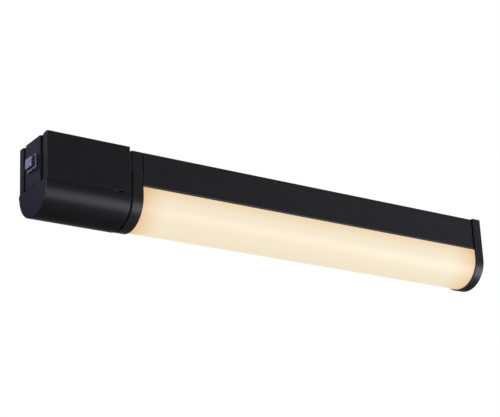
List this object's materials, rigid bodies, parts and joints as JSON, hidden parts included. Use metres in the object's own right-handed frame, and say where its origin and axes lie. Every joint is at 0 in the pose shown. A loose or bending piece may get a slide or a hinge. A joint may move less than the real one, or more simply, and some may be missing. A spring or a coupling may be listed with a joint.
{
  "type": "vanity light bar",
  "caption": "Wall light bar with an opal half-round diffuser, and a supply box with a booted rocker switch and a hinged half-round cover over a socket.",
  "frame": {"origin": "midway between the two wall-fixing holes, on the wall plane", "axes": "+X from the supply box to the free end of the bar, +Y from front to rear, +Z into the wall; the diffuser faces -Z"},
  "size_m": [0.6038, 0.0644, 0.086],
  "materials": {
    "black_housing": "moulded black plastic, satin",
    "black_cover": "moulded black plastic, half gloss",
    "black_panel": "moulded black plastic, fine texture",
    "black_caps": "moulded black plastic, satin",
    "black_aluminium": "black anodised extrusion",
    "dark_neck": "black plastic",
    "opal": "opal acrylic, lit",
    "light_emitter": "lit emitters",
    "switch_grey": "moulded dark grey plastic",
    "clear_boot": "clear soft vinyl",
    "white_plastic": "moulded white plastic",
    "white_sheet": "white coated sheet",
    "zinc_steel": "zinc plated",
    "brass": "bare",
    "black_rubber": "soft rubber",
    "brown_wire": "PVC insulation",
    "blue_wire": "PVC insulation",
    "red_wire": "PVC insulation",
    "grey_wire": "PVC insulation"
  },
  "bodies": {
    "light": {"box_housing": "black_housing", "box_back_plate": "zinc_steel", "housing_screws": "zinc_steel", "cable_grommet": "black_rubber", "terminal_block": "white_plastic", "terminal_screws": "brass", "led_driver": "white_plastic", "driver_screws": "zinc_steel", "switch_panel": "black_panel", "switch_body": "switch_grey", "switch_terminals": "brass", "switch_boot": "clear_boot", "flap_hinge_pin": "zinc_steel", "socket_insert": "white_plastic", "socket_gasket": "black_rubber", "socket_contacts": "brass", "socket_screws": "zinc_steel", "switch_wires": "brown_wire", "driver_wires": "blue_wire", "socket_wires": "red_wire", "board_wires": "grey_wire", "neck_spacer": "dark_neck", "neck_screws": "zinc_steel", "bar_bracket": "black_caps", "left_end_cap": "black_caps", "bracket_screws": "zinc_steel", "bar_profile": "black_aluminium", "diffuser": "opal", "reflector": "white_sheet", "light_board": "white_plastic", "light_emitters": "light_emitter", "board_screws": "zinc_steel", "left_end_gasket": "black_rubber", "right_end_gasket": "black_rubber", "right_end_cap": "black_caps", "end_cap_screws": "zinc_steel", "wall_clip": "zinc_steel"},
    "flap": {"flap_cover": "black_cover"},
    "catch": {"flap_catch": "switch_grey", "catch_tongue": "zinc_steel"},
    "rocker": {"switch_rocker": "switch_grey"}
  },
  "joints": [
    {"name": "flap_hinge", "type": "hinge", "parent": "light", "child": "flap", "pos_m": [-0.24975, 0.0297, -0.0546], "axis": [1, 0, 0], "range_deg": [0, 90]},
    {"name": "catch_push", "type": "slide", "parent": "flap", "child": "catch", "axis": [0, 1, 0], "range_m": [0, 0.0015], "stiffness_N_per_m": 400, "springref_m": -0.001},
    {"name": "rocker_tilt", "type": "hinge", "parent": "light", "child": "rocker", "pos_m": [-0.2976, 0, -0.0264], "axis": [0, 0, 1], "range_deg": [0, 16]}
  ]
}
